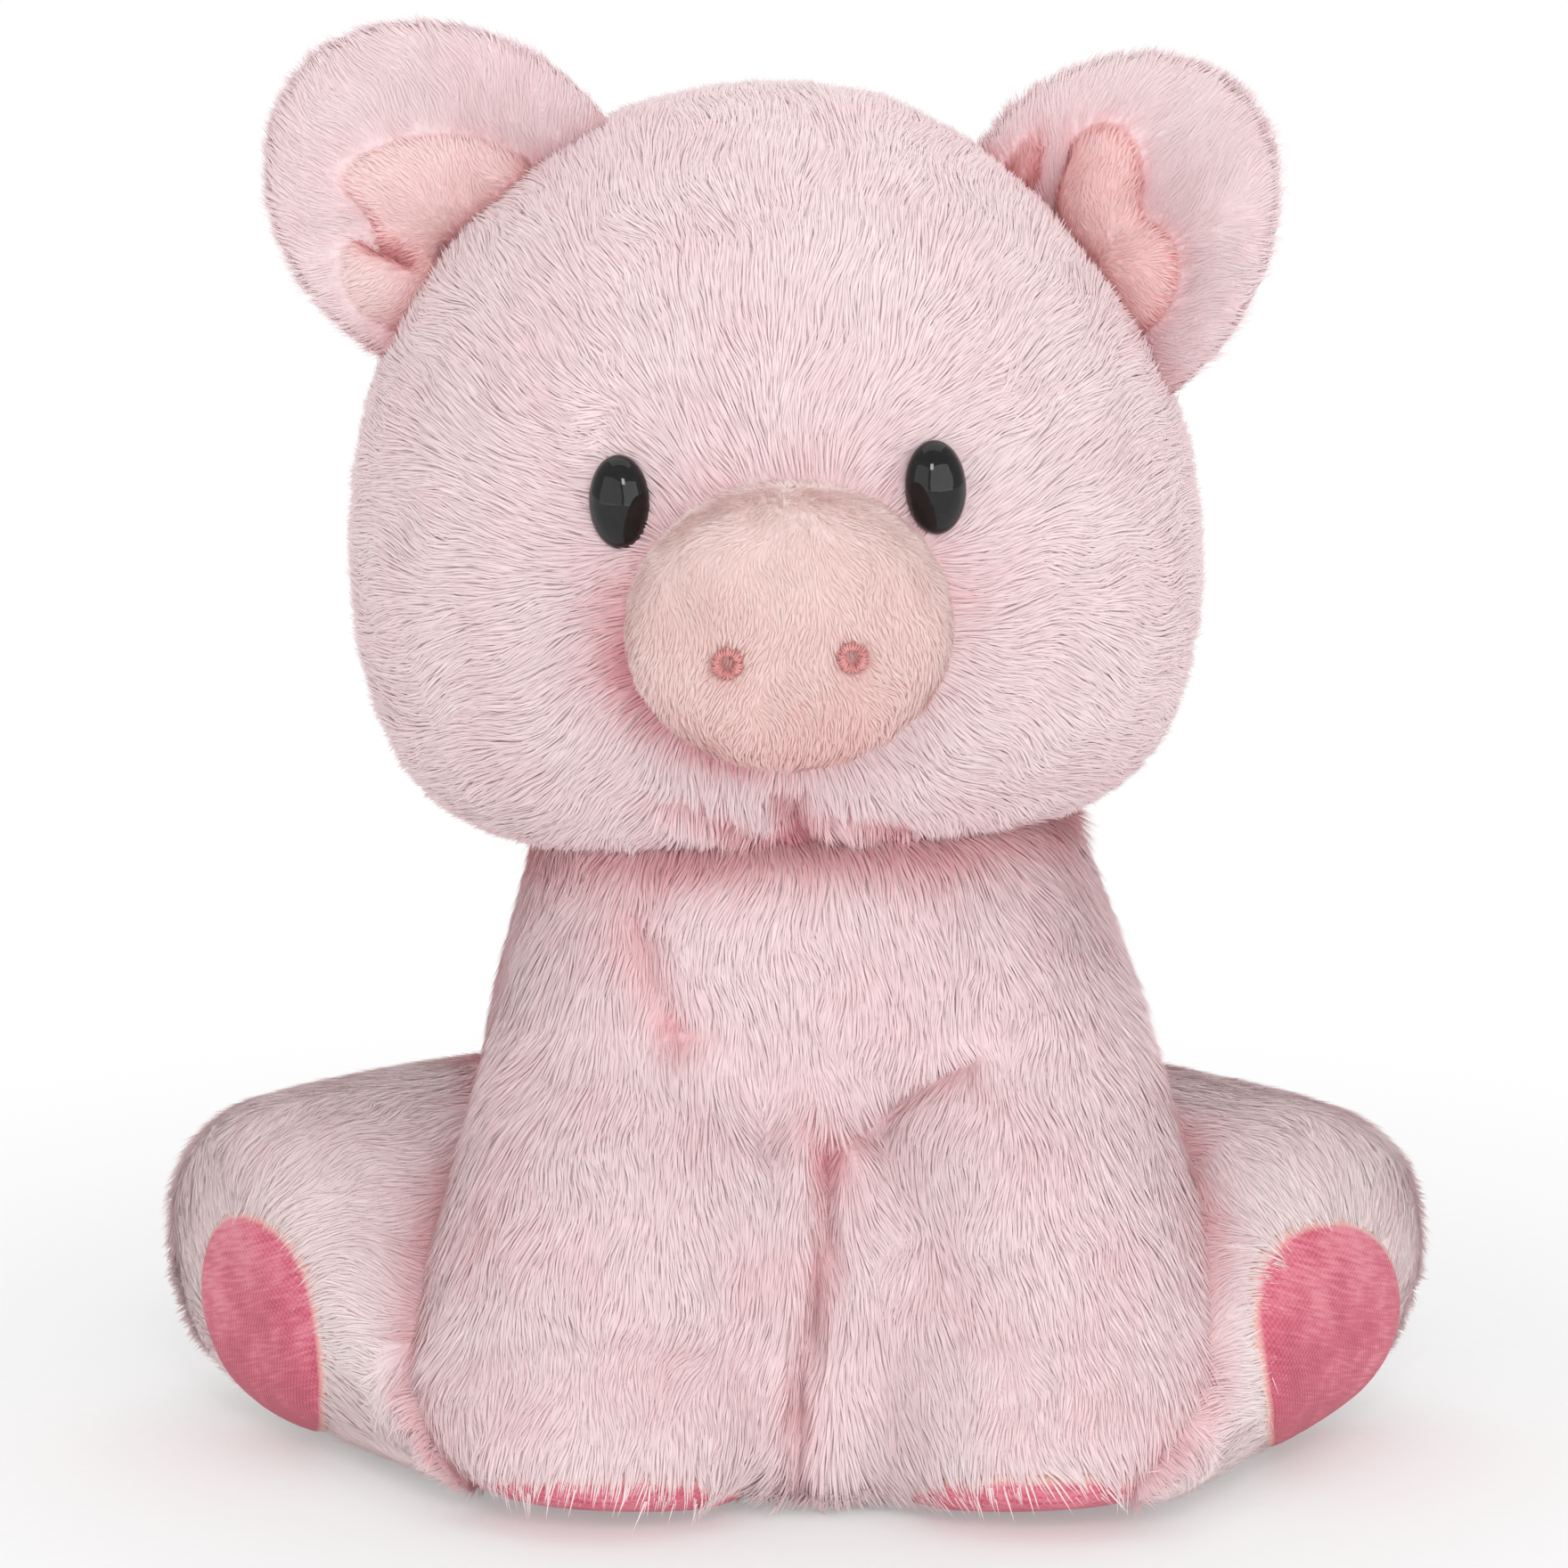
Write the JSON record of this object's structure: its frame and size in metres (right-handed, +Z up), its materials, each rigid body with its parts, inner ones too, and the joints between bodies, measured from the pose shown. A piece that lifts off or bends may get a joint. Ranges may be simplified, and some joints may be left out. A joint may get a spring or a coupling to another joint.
{
  "type": "plush pig toy",
  "caption": "Sitting stuffed pig with long-pile fabric, drum snout with stitched nostrils, oval black eyes, cupped ears and woven sole pads.",
  "frame": {"origin": "on the floor under the seat, at the middle of the hips", "axes": "+Z up, -Y the way the toy faces, +X its own left side"},
  "size_m": [0.2095, 0.1849, 0.2304],
  "materials": {
    "fur": "long silky pile, pale pink with frosted tips",
    "short_pile": "short velvety pile, peach pink",
    "pad_cloth": "fine woven cloth, deep rose",
    "eye_plastic": "polished black",
    "washer_plastic": "natural white",
    "thread": "embroidery thread, rose",
    "fibre": "loose white fibre",
    "pouch_cloth": "plain undyed cloth",
    "pellets": "small plastic beads"
  },
  "bodies": {
    "trunk": {"body_cover": "fur", "body_filling": "fibre", "seat_pouch": "pouch_cloth", "seat_pellets": "pellets", "foreleg_cover_left": "fur", "foreleg_cover_right": "fur", "foreleg_filling_left": "fibre", "foreleg_filling_right": "fibre", "paw_pad_left": "pad_cloth", "paw_pad_right": "pad_cloth"},
    "head": {"head_cover": "fur", "head_filling": "fibre", "snout_band": "short_pile", "snout_disc": "short_pile", "snout_filling": "fibre", "nostril_left": "thread", "nostril_right": "thread", "eye_left": "eye_plastic", "eye_right": "eye_plastic", "eye_washer_left": "washer_plastic", "eye_washer_right": "washer_plastic"},
    "ear_left": {"ear_cover_left": "fur", "ear_lining_left": "short_pile"},
    "ear_right": {"ear_cover_right": "fur", "ear_lining_right": "short_pile"},
    "hind_leg_left": {"hind_leg_cover_left": "fur", "hind_leg_filling_left": "fibre", "foot_pad_left": "pad_cloth"},
    "hind_leg_right": {"hind_leg_cover_right": "fur", "hind_leg_filling_right": "fibre", "foot_pad_right": "pad_cloth"},
    "tail": {"tail": "fur"}
  },
  "joints": [
    {"name": "head_nod", "type": "hinge", "parent": "trunk", "child": "head", "pos_m": [-0.003, -0.0055, 0.096], "axis": [1, 0, 0], "range_deg": [-8, 8], "stiffness_Nm_per_rad": 0.6},
    {"name": "ear_flop_left", "type": "hinge", "parent": "head", "child": "ear_left", "pos_m": [0.04647, -0.005, 0.19101], "axis": [0.7771, -0.4358, -0.4541], "range_deg": [-12, 12], "stiffness_Nm_per_rad": 0.06},
    {"name": "ear_flop_right", "type": "hinge", "parent": "head", "child": "ear_right", "pos_m": [-0.0493, -0.005, 0.19452], "axis": [0.5911, 0.055, 0.8047], "range_deg": [-12, 12], "stiffness_Nm_per_rad": 0.06},
    {"name": "hind_leg_swing_left", "type": "hinge", "parent": "trunk", "child": "hind_leg_left", "pos_m": [0.053, 0.004, 0.029], "axis": [0, 0, 1], "range_deg": [-3, 15], "stiffness_Nm_per_rad": 0.3},
    {"name": "hind_leg_swing_right", "type": "hinge", "parent": "trunk", "child": "hind_leg_right", "pos_m": [-0.053, 0.004, 0.029], "axis": [0, 0, -1], "range_deg": [-3, 15], "stiffness_Nm_per_rad": 0.3},
    {"name": "tail_wag", "type": "hinge", "parent": "trunk", "child": "tail", "pos_m": [0.0025, 0.05974, 0.04], "axis": [0, 0, 1], "range_deg": [-15, 15], "stiffness_Nm_per_rad": 0.01}
  ]
}
